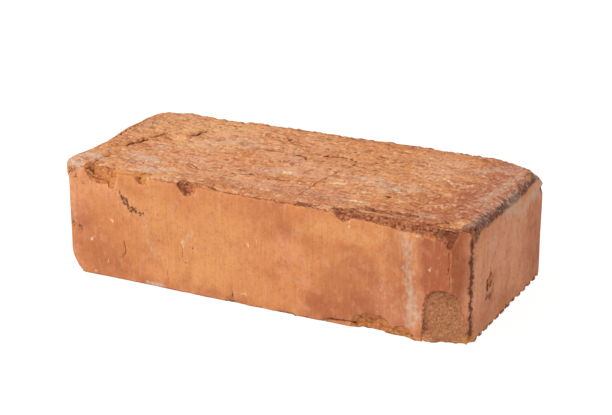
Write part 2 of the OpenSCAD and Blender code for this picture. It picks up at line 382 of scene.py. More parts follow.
PATCHES = (
    # Redder fire shading, from the hotter places in the kiln, and a band that makes the front darker and
    # redder towards its lower edge.
    *each(Patch, Stain.FIRE, Face.FRONT, rows=(
        (((46, 8), (58, 18), (70, 14)), 31, 0.85, 0.4),
        (((36, 42), (64, 38)), 16, 0.3),
        (((109, 62), (110, 0)), 16, 1.4, 0.3),
        (((117.5, 66), (117.5, 0)), 11, 1.15, 0.2),
        (((80, 6), (92, 14)), 18, 0.6, 0.4),
        (((86, 48), (90, 6)), 17, 0.65),
        (((2, 60), (20, 52)), 18, 0.5, 0.4),
        (((-96, 14), (-112, 16), (-119, 28)), 20, 0.6, 0.4),
        (((-100, 2), (-40, 1), (-4, 2)), 15, 0.55),
        (((12, 26),), 16, 0.2),
    )),
    *each(Patch, Stain.FIRE, Face.TOP, rows=(
        (((92, -46), (106, -24), (115, 14), (112, 50)), 36, 0.95, 0.45),
        (((-44, -53), (40, -48), (84, -40)), 16, 0.5),
        (((20, 54), (80, 54)), 10, 0.5),
    )),
    *each(Patch, Stain.FIRE, Face.END, rows=(
        (((-50, 8), (-10, 2), (30, 4)), 14, 0.45),
        (((-26, 26), (-20, 8)), 15, 0.5, 0.4),
        (((46, 30), (50, 8)), 34, 0.7, 0.3),
    )),
    # Paler clouds between, where the clay stayed cooler.
    *each(Patch, Stain.PALE, Face.FRONT, rows=(
        (((-64, 42), (-30, 28)), 34, 0.8),
        (((-100, 50), (-84, 40)), 20, 0.7),
        (((40, 58), (82, 56)), 12, 0.9),
        (((-4, 20),), 18, 0.35),
    )),
    *each(Patch, Stain.PALE, Face.TOP, rows=(
        (((-98, 26), (-62, 44)), 26, 0.8, 0.4),
        (((-90, 2), (-58, 10)), 18, 0.7, 0.4),
    )),
    # A rose tint over the right end, beside the bevel and on parts of the bed.
    *each(Patch, Stain.ROSE, Face.FRONT, rows=(
        (((107, 62), (107, 0)), 15, 0.95, 0.3),
        (((78, 16), (92, 8)), 14, 0.75),
        (((-118, 60), (-117, 24)), 10, 0.45, 0.4),
        (((-104, 54), (-86, 50)), 11, 0.45),
        (((18, 42), (26, 18)), 16, 0.34),
    )),
    *each(Patch, Stain.ROSE, Face.TOP, rows=(
        (((113, -30), (114, 48)), 16, 0.9, 0.4),
        (((-20, -42), (44, -40)), 12, 0.6),
        (((-7.6, 4.6),), 8, 0.9, 0.2),
        (((-70, -20), (-20, -14), (10, -12)), 14, 0.5),
    )),
    *each(Patch, Stain.ROSE, Face.END, rows=(
        (((-46, 34), (50, 32)), 60, 0.95, 0.2),
    )),
    # Salts that dried out of the clay.
    *each(Patch, Stain.BLOOM, Face.FRONT, rows=(
        (((91, 58), (92, 43.9), (93.6, 29.6), (95, 10)), 6.4, 0.72, 0.5),
        (((94.6, 26), (96.2, 14)), 3.6, 1, 0.3),
        (((77, 28), (90, 15)), 11, 0.34),
        (((-73.2, 41.2), (-71, 28.5), (-65.4, 18.6), (-59.6, 18.9)), 5, 0.5),
        (((-46.9, 31), (-40, 36)), 5, 0.5),
        (((20, 34), (24, 24)), 12, 0.18),
        (((-122, 58), (-121, 30)), 5, 0.4),
        (((-124, 66), (-116, 66)), 4, 0.9, 0.3),
        (((-71, 1.4), (-60, 1)), 2.6, 0.9),
    )),
    *each(Patch, Stain.BLOOM, Face.TOP, rows=(
        (((-94.7, -25.7), (-81.1, -31.2)), 12, 0.8),
        (((-84.8, -7.9),), 11, 0.75),
        (((-72, 10), (-44, 22)), 15, 0.5),
        (((98, 28), (108, 48)), 14, 0.6),
        (((116, -12), (119, 40)), 8, 0.65),
        (((-79.2, -49.7), (-66, -46)), 7, 0.85),
        (((-122, -47), (-115, -40)), 9, 0.9),
        (((63.8, 40.3), (81.4, 35)), 12, 0.5),
        (((40, -4), (72, -12)), 13, 0.65),
        (((-120, 10), (-112, 45)), 8, 0.45),
        (((-20, -18), (0, -16)), 9, 0.55),
        (((30, -44), (46, -44)), 8, 0.5),
        (((92, -46), (100, -44)), 6, 0.7),
    )),
    *each(Patch, Stain.BLOOM, Face.END, rows=(
        (((-22.3, 46.5), (-18, 48)), 7, 0.7),
        (((8, 46), (10, 40)), 8, 0.55),
        (((4, 58), (50, 53)), 13, 0.72),
        (((-10, 38), (20, 36)), 40, 0.25),
        (((48, 62), (58, 59)), 7, 0.9),
    )),
    # Specks of lime and rubbed mortar, and a painted highlight on the rolled edge of the end beside the
    # groove.
    *each(Patch, Stain.LIME, Face.FRONT, rows=(
        (((-106.1, 8.9),), 1.5, 0.9),
        (((-98.6, 10.3),), 1.9, 1),
        (((-107.3, 1.8),), 1.5, 0.8),
        (((-110, 22.5), (-107, 23.9)), 1.7, 0.8),
        (((-95, 36.5),), 1.8, 0.9),
        (((-96, 55), (-91, 54.6)), 1.2, 0.5),
        (((-47.3, 33), (-47.6, 27)), 1.7, 0.7),
        (((-5.2, 38.5), (-4.6, 35)), 1.4, 0.8),
        (((-1, 42.5), (0.4, 39.5)), 1.2, 0.7),
        (((-8, 6.8), (-3, 8)), 1.9, 0.7),
        (((57.3, 63.6), (57.3, 58)), 1.3, 0.8),
        (((104.7, 43.3),), 2, 0.9),
        (((109, 51),), 1.4, 0.5),
        (((94.6, 60.8), (100.4, 60.4)), 2.2, 0.55),
        (((95.4, 24), (96.2, 15)), 2.8, 0.3),
        (((-70.6, 66), (-69.4, 63)), 1.4, 0.9),
    )),
    *each(Patch, Stain.LIME, Face.TOP, rows=(
        (((27, -21.6), (35.4, -18.4)), 2.9, 1.15, 0.3),
        (((43.1, -20), (45, -10.9), (49.1, -6.1)), 2.4, 0.75),
        (((63, -13.4), (71.8, -17.5)), 2, 1, 0.2),
        (((82, 14), (89.2, 8.8), (95.5, 8.2)), 2, 0.95, 0.3),
        (((99, 8.4), (105, 9)), 3, 0.75),
        (((50, -39), (58.1, -41.7)), 4.4, 0.95, 0.5),
        (((-4.5, -14.5), (-0.5, -15)), 3, 0.85),
        (((-90, -52), (-76, -50)), 4, 0.7),
        (((-92, -22), (-84, -12)), 3, 0.6),
        (((-122.5, -50), (-117, -40)), 5, 0.55),
    )),
    *each(Patch, Stain.LIME, Face.END, rows=(
        # Painted highlight on the rolled edge of the end, beside the groove.
        (((-47.4, 57), (-46.8, 8)), 3, 0.42, 0.2),
    )),
    # Soot, and painted shade in two notches above the teeth at the foot of the end.
    *each(Patch, Stain.SOOT, Face.FRONT, rows=(
        (((-88.5, 53.4), (-85.6, 50.6), (-83, 47.4), (-79.1, 45), (-76, 43.7)), 4, 1.05, 0.7),
        (((-73.8, 42.2),), 2.2, 0.5),
        (((-71.1, 47),), 1.4, 0.9),
        (((-111, 65.2), (-107, 64.4)), 2.6, 0.9),
        (((-122, 29), (-116.2, 27.9)), 3.2, 0.65),
        (((-121, 61.5), (-119, 58.5)), 3.4, 0.7),
        (((-113.5, 57.2),), 2, 0.7),
        (((-40.4, 29.3), (-40.4, 26.5)), 2, 0.6),
        (((75.1, 48.7),), 1.3, 0.8),
    )),
    *each(Patch, Stain.SOOT, Face.TOP, rows=(
        (((40.9, 10.5),), 2, 1, 0.2),
        (((46, -53.6), (56, -51.4)), 2, 0.6),
    )),
    *each(Patch, Stain.SOOT, Face.END, rows=(
        # Painted shade in notches above the teeth at the foot of the end.
        (((-6.9, 2.4), (-6.6, 0.8)), 2.2, 1, 0.2),
        (((1.9, 2.4), (2.2, 0.8)), 2.2, 1, 0.2),
    )),
    # Dirt in pits, along arrises and round the breaks, and painted shade along the feet, in breaks and under
    # folds.
    *each(Patch, Stain.GRIME, Face.FRONT, rows=(
        (((112.4, 63.4), (117.4, 64.6), (115.4, 58.6)), 3.7, 1.3, 0.1),
        # Painted contact shadow along the foot of the front.
        (((-112, 0.2), (112, 0.2)), 1.3, 0.8),
        # Painted shade round the left and upper rim of the spall, and over its upper part.
        (((102.2, 24), (101.4, 14), (102, 4)), 1.5, 0.8, 0.2),
        (((103, 26), (107, 30.6), (113, 32), (119, 28)), 2, 0.8, 0.2),
        (((106, 24), (113, 27.5), (117, 24)), 7, 0.45, 0.3),
        # Painted shade on the left wall of the knock on the upper arris, and in the small flake near the lip.
        (((-49.8, 66.6), (-47.6, 63.4), (-44.8, 61)), 2.2, 0.8, 0.3),
        (((-75.4, 64.8),), 1.8, 0.9),
        (((84, 4.6), (96, 2.4)), 2.2, 0.6),
    )),
    *each(Patch, Stain.GRIME, Face.TOP, rows=(
        (((114, -57), (118, -54)), 3, 0.45, 0.3),
        # Painted shade along the step of the fold near the lip.
        (((-110, -14), (-105.5, 0)), 4, 0.7),
        (((-14.4, 0.4), (-12.2, 2.8)), 3, 0.9, 0.3),
        # Painted shade along the step of the second fold.
        (((-84, 17), (-80.5, 28)), 4, 0.6),
        (((60, -48.4), (73, -47.6), (84, -45.8), (91.5, -46.6)), 4.2, 0.62, 0.35),
        (((58, -57.5), (76, -58.5), (104, -57)), 4, 0.58, 0.4),
        (((24.1, -58.5), (36, -55.5)), 2.4, 0.9),
        (((46, -54.5), (58.4, -51.5)), 2.4, 0.9),
        (((-36, -58.4), (44, -58.4)), 2.6, 0.4),
        (((-34, 37), (-26, 36)), 4, 0.5),
        (((-90, 57), (104, 57)), 3.4, 0.5),
        (((-80, 47), (-68, 46)), 3, 0.7),
        (((116.5, -55), (122, -51)), 3.2, 0.6),
    )),
    *each(Patch, Stain.GRIME, Face.END, rows=(
        (((-25.2, 32.6), (-24.4, 29.6)), 3, 0.7, 0.2),
        # Painted shade in the groove beside the bevel.
        (((-51, 58), (-50.6, 8)), 2.4, 0.68, 0.2),
        (((-30, 19.6), (-24, 17.2)), 3.8, 0.8),
        # Painted shadow under the teeth along the foot of the end.
        (((-48, 0.6), (58, 0.6)), 2.6, 0.9),
    )),
    # Arrises rubbed down to ochre, and a painted highlight along the crease of the bevel.
    *each(Patch, Stain.RUB, Face.FRONT, rows=(
        # Painted highlight along the crease of the bevel.
        (((116.7, 55), (116.9, 33)), 1, 0.7, 0.1),
        (((101.3, 61.8), (107, 61.4)), 2.4, 0.75),
        (((-123, 62), (-116, 63)), 3, 0.8),
        (((-122, 52), (-121, 10)), 3, 0.5),
        (((-112, 1), (-117, 8)), 4, 0.55),
        (((-92, 67), (-81, 66.6)), 2.4, 0.9),
        (((-43, 66.6), (-39.6, 64)), 2.8, 0.8),
        (((-103, 63.4), (-93.5, 60)), 4, 0.8),
        (((-77, 66.8), (-70, 65)), 3.4, 0.9),
        (((84, 1.5), (104, 1.5)), 2.4, 0.8),
        (((102, 0.6), (124, 0.6)), 1.8, 0.9),
        (((42, 0.8), (64, 1)), 1.4, 0.8),
    )),
    *each(Patch, Stain.RUB, Face.END, rows=(
        (((-50.3, 60.5), (-49.6, 63.5)), 2.4, 1),
        (((-51, 2), (-49.5, 8)), 4.2, 1.3, 0.3),
        (((-20.6, 26), (-23.8, 21)), 2.2, 1.2, 0.1),
        (((-18, 66), (-16, 66.2)), 1.9, 0.9),
        (((1, 64.4), (4, 62.4)), 2, 1),
    )),
    # Tones of broken clay: fresh ochre, dirty, and sandy in the spall.
    *each(Patch, Stain.OCHRE, Face.FRONT, rows=(
        (((-112, 64), (-91, 60)), 9, 1),
        (((-79, 65), (-68, 65)), 7, 1),
        (((58, 4), (96, 2)), 9, 1),
    )),
    *each(Patch, Stain.OCHRE, Face.END, rows=(
        (((-51.5, 2), (-50.5, 7)), 4, 1),
    )),
    *each(Patch, Stain.DARK, Face.FRONT, rows=(
        (((-43.5, 65),), 10, 1),
        (((54, 65.5),), 9, 0.8),
        (((60, 65.5), (96, 65)), 8, 1, 0.1),
        (((104, 66), (120, 64)), 9, 1, 0.1),
    )),
    *each(Patch, Stain.DARK, Face.TOP, rows=(
        (((110, -54), (121, -50)), 6, 1, 0.2),
    )),
    *each(Patch, Stain.SAND, Face.FRONT, rows=(
        (((112.5, 0), (112.5, 28)), 22, 1.6, 0.05),
    )),
)


@dataclass(frozen=True)
class Pattern:
    """One random pattern in the clay, sized in millimetres along each axis."""

    pitch: Triple
    detail: float = 2.0
    seed: float = 0.0
    bent: bool = False


@dataclass(frozen=True)
class Layer:
    """A tone laid over a ground where a pattern, or a painted mask broken up by it, passes a level."""

    tone: str
    pattern: Pattern
    low: float
    high: float
    cover: float = 1.0
    mask: str = ""
    ragged: float = 0.5


@dataclass(frozen=True)
class Edge:
    """The ragged edge of a painted mask: how far noise moves its values, and where it begins and is full."""

    mask: str
    ragged: float
    low: float
    high: float


@dataclass(frozen=True)
class Shade:
    """Painted shade: a dark tone in hollows or cracks, from none at a low value to its cover at a high one.
    """

    tone: str
    low: float
    high: float
    cover: float


@dataclass(frozen=True)
class Grit:
    """A pattern of fine relief, with its height in millimetres."""

    pattern: Pattern
    height: float


@dataclass(frozen=True)
class Finish:
    """One surface that the clay shows: a ground, the tones over it and its fine relief."""

    ground: str
    layers: tuple[Layer, ...]
    grits: tuple[Grit, ...]


# Clay that slid along the steel die: a close, matt skin with clouds from the fire and faint lines along the
# push, here upright. Real lines lie under 1 mm apart. They are drawn 1.2 to 2.4 mm apart on the long sides,
# the least that shows from the camera, and up to 6.5 mm on the ends, which it sees at a slant.
DIE_SKIN = Finish(
    "#CE8350",
    (
        Layer("#D68F59", Pattern((60.0, 60.0, 45.0), 3.0, 1.0), 0.42, 0.62, 0.7),
        Layer("#DB975D", Pattern((30.0, 30.0, 30.0), 3.0, 2.0), 0.2, 1.1, 0.9, "pale", 0.9),
        Layer("#E59B79", Pattern((7.0, 7.0, 10.0), 5.0, 8.0), 0.1, 1.1, 0.85, "rose", 1.1),
        Layer("#A4583A", Pattern((13.0, 13.0, 11.0), 6.0, 3.0), 0.1, 1.15, 0.95, "fire", 1.2),
        Layer("#B96C44", Pattern((6.0, 6.0, 7.0), 5.0, 9.0), 0.5, 0.7, 0.36),
        Layer("#DDA27E", Pattern((5.0, 5.0, 6.0), 5.0, 18.5), 0.53, 0.7, 0.3),
        Layer("#AE643A", Pattern((1.2, 3.6, 40.0), 3.0, 4.0), 0.5, 0.7, 0.2),
        Layer("#B56C42", Pattern((2.4, 6.5, 60.0), 4.0, 5.0), 0.5, 0.72, 0.18),
        Layer("#E2A678", Pattern((1.6, 4.2, 14.0), 4.0, 6.0), 0.54, 0.74, 0.22),
        Layer("#A05732", Pattern((1.7, 3.4, 1.7), 4.0, 7.0), 0.52, 0.68, 0.28),
        Layer("#8C4A2A", Pattern((2.4, 2.4, 3.0), 3.0, 10.0), 0.68, 0.76, 0.14),
    ),
    (Grit(Pattern((1.1, 1.1, 40.0), 3.0, 4.0), -0.1), Grit(Pattern((1.6, 1.6, 1.6), 3.0, 7.0), -0.2)),
)

# Clay torn by the cutting wire: a rough, dry bed of dragged flakes, open tears, grains and rubbed pale
# crests. Real grains are about 1 mm. They are drawn 1.8 by 3 mm, as the camera sees the bed at a low angle.
WIRE_CUT = Finish(
    "#D08C5C",
    (
        Layer("#D28A54", Pattern((50.0, 34.0, 50.0), 4.0, 11.0), 0.46, 0.64, 0.6),
        Layer("#D9A585", Pattern((38.0, 24.0, 38.0), 4.0, 18.0), 0.5, 0.68, 0.5),
        Layer("#B76C45", Pattern((20.0, 12.0, 20.0), 6.0, 12.0), 0.52, 0.66, 0.5),
        Layer("#E2A873", Pattern((12.0, 8.0, 12.0), 5.0, 20.0), 0.15, 1.1, 0.8, "pale", 1.2),
        Layer("#CF9580", Pattern((10.0, 7.0, 10.0), 5.0, 8.0), 0.15, 1.1, 0.7, "rose", 1.2),
        Layer("#A65E40", Pattern((12.0, 8.0, 12.0), 5.0, 19.0), 0.2, 1.1, 0.85, "fire", 1.0),
        # Painted shade in the hollows of the dragged flakes, on the pattern of their relief.
        Layer("#964E2A", Pattern((6.5, 3.2, 6.5), 5.0, 13.0, True), 0.54, 0.62, 0.56),
        Layer("#EBBB92", Pattern((5.5, 3.2, 5.5), 5.0, 14.0, True), 0.55, 0.65, 0.42),
        # Painted shade in the hollows between grains, on the pattern of their relief.
        Layer("#964E28", Pattern((1.8, 3.0, 1.8), 4.0, 17.0), 0.54, 0.66, 0.5),
        Layer("#F0C8A2", Pattern((1.8, 3.0, 1.8), 4.0, 16.0), 0.56, 0.68, 0.46),
        # Painted shade in the tears, on the pattern of their relief.
        Layer("#74371A", Pattern((9.0, 2.8, 8.0), 4.0, 15.0, True), 0.65, 0.69, 0.75),
    ),
    (
        Grit(Pattern((6.5, 3.2, 6.5), 5.0, 13.0, True), -1.2),
        Grit(Pattern((9.0, 2.8, 8.0), 4.0, 15.0, True), -0.8),
        Grit(Pattern((1.8, 3.0, 1.8), 4.0, 17.0), -0.9),
    ),
)

# Fresh breaks through under-fired clay: crumbly ochre, yellower than the skin. Grains of about 1 mm are drawn
# at twice their size.
OCHRE_BREAK = Finish(
    "#C07440",
    (
        Layer("#8A4824", Pattern((2.4, 2.6, 2.1), 5.0, 21.0), 0.49, 0.6, 0.65),
        Layer("#DFA574", Pattern((2.0, 2.4, 1.8), 5.0, 22.0), 0.54, 0.64, 0.55),
        Layer("#643216", Pattern((6.0, 6.0, 5.0), 4.0, 23.0), 0.63, 0.68, 0.75),
    ),
    (Grit(Pattern((2.4, 2.4, 2.0), 4.0, 21.0), -1.4),),
)

# Old breaks with dirt worked into them: dark brown holes, deepened with painted shade in the hollows of their
# relief, between lighter grains of 1 to 2 mm.
DARK_BREAK = Finish(
    "#AD6440",
    (
        Layer("#4E2312", Pattern((1.9, 2.4, 1.3), 5.0, 31.0), 0.43, 0.66, 0.85),
        Layer("#DBA47C", Pattern((1.6, 2.0, 1.1), 5.0, 32.0), 0.5, 0.68, 0.55),
    ),
    (Grit(Pattern((1.9, 2.4, 1.3), 5.0, 31.0), -1.5),),
)

# A spall through sandy clay: an even field of light and dark grains, at their real size of about 1 mm.
SANDY_BREAK = Finish(
    "#B2734C",
    (
        Layer("#CF9A74", Pattern((1.2, 1.2, 1.1), 4.0, 41.0), 0.53, 0.66, 0.65),
        Layer("#804629", Pattern((1.3, 1.3, 1.2), 4.0, 42.0), 0.53, 0.66, 0.65),
    ),
    (Grit(Pattern((1.3, 1.3, 1.2), 4.0, 41.0), 1.0),),
)

# The arris that the wire entered: a dark band with strokes of dirt and rubbed salts across it, 1.5 mm apart;
# the dark strokes follow the grooves of its relief as painted shade.
ENTRY_ARRIS = Finish(
    "#935F4C",
    (
        Layer("#45261C", Pattern((3.0, 1.5, 3.0), 4.0, 61.0), 0.48, 0.6, 0.8),
        Layer("#CBA896", Pattern((2.6, 1.5, 2.6), 4.0, 62.0), 0.55, 0.66, 0.65),
    ),
    (Grit(Pattern((3.0, 1.5, 3.0), 4.0, 61.0), -1.0),),
)

# What lies over every finish: rubbed ochre, salts, lime, grime, brushed dirt and salts, painted shade in the
# groove, and soot, with painted highlights among the ochre and lime and painted shade among the grime and
# soot. Their specks are drawn at 1.3 to 3 mm, about the smallest that the camera can show.
OVERLAYS = (
    # Rubbed ochre, and a painted highlight along the crease of the bevel.
    Layer("#D08A4E", Pattern((2.0, 2.0, 2.6), 4.0, 50.0), 0.4, 0.9, 0.8, "rub", 1.2),
    Layer("#CDB6A0", Pattern((1.9, 2.4, 2.8), 6.0, 51.0), 0.3, 1.15, 0.68, "bloom", 2.2),
    # Lime and mortar, and a painted highlight on the end's rolled edge.
    Layer("#EED3AE", Pattern((1.9, 2.2, 1.8), 5.0, 52.0), 0.5, 1.1, 0.75, "lime", 2.8),
    # Dirt, and painted shade along the feet, in breaks, under folds and in the groove.
    Layer("#793F25", Pattern((2.2, 2.2, 1.9), 5.0, 53.0), 0.45, 0.85, 0.8, "grime", 1.8),
    Layer("#6E4231", Pattern((7.0, 2.0, 7.0), 5.0, 56.0), 0.5, 1.0, 0.75, "brush", 2.4),
    Layer("#D2B09C", Pattern((6.0, 2.2, 6.0), 5.0, 57.0), 0.6, 1.0, 0.5, "brush", 2.2),
    # Painted shade in the torn groove beside the bevel.
    Layer("#64382A", Pattern((3.0, 3.0, 1.8), 4.0, 55.0), 0.4, 0.95, 0.85, "groove", 2.2),
    # Soot, and painted shade in notches at the foot of the end.
    Layer("#4C2E20", Pattern((1.3, 1.6, 1.2), 4.0, 54.0), 0.55, 0.95, 0.85, "soot", 2.6),
)


class Nodes:
    """A node tree and the one way that nodes are added to it.

    A mix node numbers its sockets: 0 is the factor, 2 and 3 are its two numbers, and 6 and 7 its two colours.
    """

    def __init__(self, tree: bpy.types.NodeTree) -> None:
        """Takes over a tree and empties it."""
        self.tree = tree
        tree.nodes.clear()

    def add(self, kind: str, sockets: dict, out: int | str = 0, **settings: object) -> Socket:
        """Adds one node.

        Args:
            kind: Type name of the node.
            sockets: Input name or number to a value, or to the output that is linked to it.
            out: Name or number of the output that is returned.
            **settings: Properties of the node.

        Returns:
            The output socket, or the node's first input if it has no output.
        """
        node = self.tree.nodes.new(kind)
        for name, value in settings.items():
            setattr(node, name, value)
        for name, value in sockets.items():
            if isinstance(value, Socket):
                self.tree.links.new(value, node.inputs[name])
            else:
                node.inputs[name].default_value = value
        return node.outputs[out] if node.outputs else node.inputs[0]


@dataclass
class FiredClay:
    """Unglazed fired clay: one porous matt body, whose finishes follow the masks painted on the mesh.

    Its roughness and index are typical of unglazed earthenware, and its pores scatter most of the shine.
    """

    name: str = "fired_clay"
    roughness: float = 0.92
    ior: float = 1.5
    gloss: float = 0.2
    bend_pitch: float = 34.0
    bend_reach: float = 7.0
    seed_step: Triple = (7.1, 3.3, 5.7)
    fray: Pattern = Pattern((3.0, 3.0, 2.6), 4.0, 71.0)
    skin: Finish = DIE_SKIN
    bed: Finish = WIRE_CUT
    ochre: Finish = OCHRE_BREAK
    dark: Finish = DARK_BREAK
    sand: Finish = SANDY_BREAK
    entry: Finish = ENTRY_ARRIS
    overlays: tuple[Layer, ...] = OVERLAYS
    bed_edge: Edge = Edge("bed", 5.0, -0.5, 0.5)
    entry_edge: Edge = Edge("entry", 4.0, -0.6, 0.9)
    dark_edge: Edge = Edge("dark", 0.6, 0.35, 0.65)
    sand_edge: Edge = Edge("sand", 0.6, 0.35, 0.65)
    broken_edge: Edge = Edge("broken", 1.0, 0.4, 0.6)
    # Painted shade: a dark tone in the hollows of the relief and in open cracks, darkest where a crack gapes.
    hollow_shade: Shade = Shade("#7C4023", 0.2, 1.0, 0.7)
    crack: Shade = Shade("#6B3016", 0.5, 0.95, 0.8)
    gape: Shade = Shade("#35180D", 1.1, 1.45, 0.9)
    crack_fray: float = 1.5
    nodes: Nodes = field(init=False, repr=False)
    straight: Socket = field(init=False, repr=False)
    bent: Socket = field(init=False, repr=False)

    def material(self) -> bpy.types.Material:
        """Builds the material.

        Returns:
            A material that reads the brick's vertex masks.
        """
        made = bpy.data.materials.new(self.name)
        made.use_nodes = True
        self.nodes = Nodes(made.node_tree)
        add = self.nodes.add
        place = add("ShaderNodeTexCoord", {}, "Object")
        self.straight = add("ShaderNodeVectorMath", {0: place, 1: (1.0 / MM,) * 3}, operation="MULTIPLY")
        slow = self.at(Pattern((self.bend_pitch,) * 3))
        drift = add("ShaderNodeTexNoise", {"Vector": slow, "Detail": 1.0, "Scale": 1.0}, "Color")
        centred = add("ShaderNodeVectorMath", {0: drift, 1: (0.5,) * 3}, operation="SUBTRACT")
        reach = (2.0 * self.bend_reach,) * 3
        self.bent = add(
            "ShaderNodeVectorMath", {0: centred, 1: reach, 2: self.straight}, operation="MULTIPLY_ADD")
        ragged = self.noise(self.fray)
        colour, height = self.body(ragged)
        relief = add("ShaderNodeBump", {"Strength": 1.0, "Distance": MM, "Height": height})
        surface = add("ShaderNodeBsdfPrincipled", {
            "Base Color": self.marked(colour, ragged), "Roughness": self.roughness, "IOR": self.ior,
            "Specular IOR Level": self.gloss, "Normal": relief})
        add("ShaderNodeOutputMaterial", {"Surface": surface})
        return made

    def body(self, ragged: Socket) -> Coat:
        """Joins the finishes of the skin, the beds, the entry arris and the breaks.

        Args:
            ragged: Values from 0 to 1 that fray their edges.

        Returns:
            The colour, and the fine relief in millimetres.
        """
        whole, fresh = self.coat(self.skin), self.coat(self.ochre)
        for edge, finish in ((self.bed_edge, self.bed), (self.entry_edge, self.entry)):
            whole = self.over(whole, self.frayed(edge, ragged), self.coat(finish))
        for edge, finish in ((self.dark_edge, self.dark), (self.sand_edge, self.sand)):
            fresh = self.over(fresh, self.frayed(edge, ragged), self.coat(finish))
        return self.over(whole, self.frayed(self.broken_edge, ragged), fresh)

    def marked(self, colour: Socket, ragged: Socket) -> Socket:
        """Lays the painted shade of the hollows, the overlays and the painted shade of the cracks over the
        body.

        Args:
            colour: Colour of the body.
            ragged: Values from 0 to 1 that make the cracks uneven.

        Returns:
            The colour of all.
        """
        add = self.nodes.add
        hollow_shade = add("ShaderNodeAttribute", {}, "Fac", attribute_name="hollow_shade")
        colour = self.shaded(colour, hollow_shade, self.hollow_shade)
        for layer in self.overlays:
            colour = self.laid(colour, layer)
        side = add("ShaderNodeAttribute", {}, "Fac", attribute_name="crack_side")
        half = add("ShaderNodeAttribute", {}, "Fac", attribute_name="crack_half")
        off = add("ShaderNodeMath", {0: side}, operation="ABSOLUTE")
        broad = add("ShaderNodeMath", {0: ragged, 1: self.crack_fray, 2: half}, operation="MULTIPLY_ADD")
        inside = add("ShaderNodeMath", {0: broad, 1: off}, operation="SUBTRACT")
        for shade in (self.crack, self.gape):
            colour = self.shaded(colour, inside, shade)
        return colour

    def shaded(self, colour: Socket, value: Socket, shade: Shade) -> Socket:
        """Lays a shade over a colour.

        Args:
            colour: Colour below.
            value: The value that the shade follows.
            shade: The shade.

        Returns:
            The colour of both.
        """
        add = self.nodes.add
        span = {"Value": value, "From Min": shade.low, "From Max": shade.high, "To Max": shade.cover}
        cover = add("ShaderNodeMapRange", span)
        return add("ShaderNodeMix", {0: cover, 6: colour, 7: linear(shade.tone)}, 2, data_type="RGBA")

    def at(self, pattern: Pattern) -> Socket:
        """Scales places to a pattern's own size.

        Args:
            pattern: The pattern.

        Returns:
            Places in shares of its pitch, shifted by its seed.
        """
        start = self.bent if pattern.bent else self.straight
        scale = tuple(1.0 / pitch for pitch in pattern.pitch)
        shift = tuple(pattern.seed * step for step in self.seed_step)
        sockets = {0: start, 1: scale, 2: shift}
        return self.nodes.add("ShaderNodeVectorMath", sockets, operation="MULTIPLY_ADD")

    def noise(self, pattern: Pattern) -> Socket:
        """A pattern's values, from 0 to 1."""
        sockets = {"Vector": self.at(pattern), "Detail": pattern.detail, "Scale": 1.0}
        return self.nodes.add("ShaderNodeTexNoise", sockets)

    def frayed(self, edge: Edge, noise: Socket) -> Socket:
        """Makes the edge of a painted mask ragged.

        Args:
            edge: The mask and its edge.
            noise: Values from 0 to 1 that move it.

        Returns:
            A socket with values from 0 to 1.
        """
        add = self.nodes.add
        painted = add("ShaderNodeAttribute", {}, "Fac", attribute_name=edge.mask)
        sway = {0: noise, 1: edge.ragged, 2: -0.5 * edge.ragged}
        moved = add("ShaderNodeMath", sway, operation="MULTIPLY_ADD")
        value = add("ShaderNodeMath", {0: painted, 1: moved}, operation="ADD")
        return add("ShaderNodeMapRange", {"Value": value, "From Min": edge.low, "From Max": edge.high})

    def laid(self, ground: Socket | tuple, layer: Layer) -> Socket:
        """Lays one layer over a ground.

        Args:
            ground: Colour below.
            layer: The layer.

        Returns:
            The colour of both.
        """
        add = self.nodes.add
        noise = self.noise(layer.pattern)
        if layer.mask:
            seen = self.frayed(Edge(layer.mask, layer.ragged, layer.low, layer.high), noise)
        else:
            seen = add("ShaderNodeMapRange", {"Value": noise, "From Min": layer.low, "From Max": layer.high})
        cover = add("ShaderNodeMath", {0: seen, 1: layer.cover}, operation="MULTIPLY")
        return add("ShaderNodeMix", {0: cover, 6: ground, 7: linear(layer.tone)}, 2, data_type="RGBA")

    def coat(self, finish: Finish) -> Coat:
        """Builds one finish.

        Args:
            finish: The finish.

        Returns:
            Its colour, and its fine relief in millimetres.
        """
        colour: Socket | tuple = linear(finish.ground)
        for layer in finish.layers:
            colour = self.laid(colour, layer)
        height: Socket | float = 0.0
        for grit in finish.grits:
            sockets = {0: self.noise(grit.pattern), 1: grit.height, 2: height}
            height = self.nodes.add("ShaderNodeMath", sockets, operation="MULTIPLY_ADD")
        return colour, height

    def over(self, below: Coat, mask: Socket, above: Coat) -> Coat:
        """Lays one coat over another where a mask says so.

        Args:
            below: Colour and relief of the lower coat.
            mask: Where the upper coat shows, from 0 to 1.
            above: Colour and relief of the upper coat.

        Returns:
            The colour and the relief of both.
        """
        add = self.nodes.add
        return (add("ShaderNodeMix", {0: mask, 6: below[0], 7: above[0]}, 2, data_type="RGBA"),
                add("ShaderNodeMix", {0: mask, 2: below[1], 3: above[1]}))


